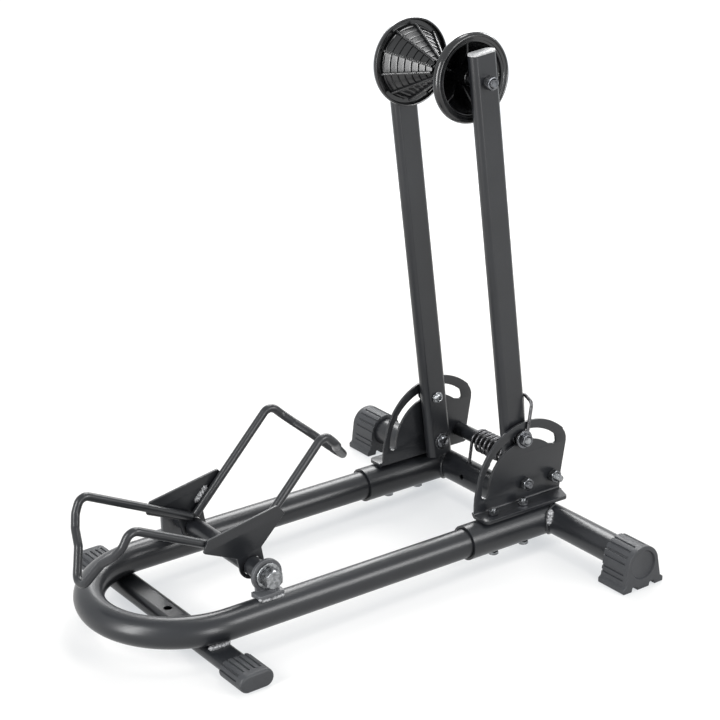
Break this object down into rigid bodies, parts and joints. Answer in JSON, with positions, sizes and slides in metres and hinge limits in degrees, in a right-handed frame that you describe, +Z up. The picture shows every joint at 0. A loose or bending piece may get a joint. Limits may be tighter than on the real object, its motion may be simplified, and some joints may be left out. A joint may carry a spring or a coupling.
{
  "type": "bike parking stand",
  "caption": "Floor stand for a bicycle wheel: U-shaped tube base, rocking wire cradle and two sprung arms with ribbed cone rollers.",
  "frame": {"origin": "on the floor, below the middle of the footprint", "axes": "+Z up, -Y towards the end where the wheel rolls in, +X towards the side with the spring's long leg"},
  "size_m": [0.4954, 0.5581, 0.5625],
  "materials": {
    "powder_coat": "satin powder coat",
    "moulded_plastic": "matte, moulded",
    "gloss_plastic": "semi-gloss, moulded",
    "bright_plastic": "satin",
    "zinc_plate": "zinc plated",
    "black_oxide": "black oxide",
    "spring_steel": "oiled, dark"
  },
  "bodies": {
    "base": {"base_tube": "powder_coat", "rear_tube": "powder_coat", "front_foot_bar": "powder_coat", "spring_shaft": "black_oxide", "spring_shaft_tube": "black_oxide", "torsion_spring": "spring_steel", "left_sleeve": "powder_coat", "left_rear_foot": "moulded_plastic", "left_front_cap": "moulded_plastic", "left_quadrant_plate": "powder_coat", "left_frame_bolt_1": "black_oxide", "left_frame_bolt_2": "black_oxide", "left_frame_nut_1": "zinc_plate", "left_frame_nut_2": "zinc_plate", "left_shaft_nut": "black_oxide", "left_ear": "powder_coat", "left_ear_bolt": "black_oxide", "left_ear_washer": "black_oxide", "right_sleeve": "powder_coat", "right_rear_foot": "moulded_plastic", "right_front_cap": "moulded_plastic", "right_quadrant_plate": "powder_coat", "right_frame_bolt_1": "black_oxide", "right_frame_bolt_2": "black_oxide", "right_frame_nut_1": "zinc_plate", "right_frame_nut_2": "zinc_plate", "right_shaft_nut": "black_oxide", "right_ear": "powder_coat", "right_ear_bolt": "black_oxide", "right_ear_washer": "black_oxide"},
    "arms": {"axle_bolt": "black_oxide", "axle_nut": "black_oxide", "left_arm": "powder_coat", "left_arm_cap": "bright_plastic", "left_pivot_bolt": "black_oxide", "left_pivot_spacer": "black_oxide", "left_pivot_nut": "black_oxide", "left_limit_bolt": "black_oxide", "left_limit_spacer": "black_oxide", "left_limit_washer": "black_oxide", "left_limit_nut": "black_oxide", "left_roller_spacer": "black_oxide", "right_arm": "powder_coat", "right_arm_cap": "bright_plastic", "right_pivot_bolt": "black_oxide", "right_pivot_spacer": "black_oxide", "right_pivot_nut": "black_oxide", "right_limit_bolt": "black_oxide", "right_limit_spacer": "black_oxide", "right_limit_washer": "black_oxide", "right_limit_nut": "black_oxide", "right_roller_spacer": "black_oxide"},
    "roller_left": {"left_roller": "gloss_plastic"},
    "roller_right": {"right_roller": "gloss_plastic"},
    "cradle": {"cradle_pivot_tube": "powder_coat", "front_hoop": "powder_coat", "rear_hoop": "powder_coat", "left_cradle_plate": "powder_coat", "right_cradle_plate": "powder_coat"}
  },
  "joints": [
    {"name": "arms_fold", "type": "hinge", "parent": "base", "child": "arms", "pos_m": [0, 0.22058, 0.06914], "axis": [1, 0, 0], "range_deg": [-42, 55], "stiffness_Nm_per_rad": 3.3, "deforming": ["torsion_spring"]},
    {"name": "left_roller_spin", "type": "hinge", "parent": "arms", "child": "roller_left", "pos_m": [0, 0.18178, 0.51616], "axis": [1, 0, 0], "continuous": true},
    {"name": "right_roller_spin", "type": "hinge", "parent": "arms", "child": "roller_right", "pos_m": [0, 0.18178, 0.51616], "axis": [1, 0, 0], "continuous": true},
    {"name": "cradle_tilt", "type": "hinge", "parent": "base", "child": "cradle", "pos_m": [0, -0.11239, 0.06689], "axis": [1, 0, 0], "range_deg": [-25, 7]}
  ]
}
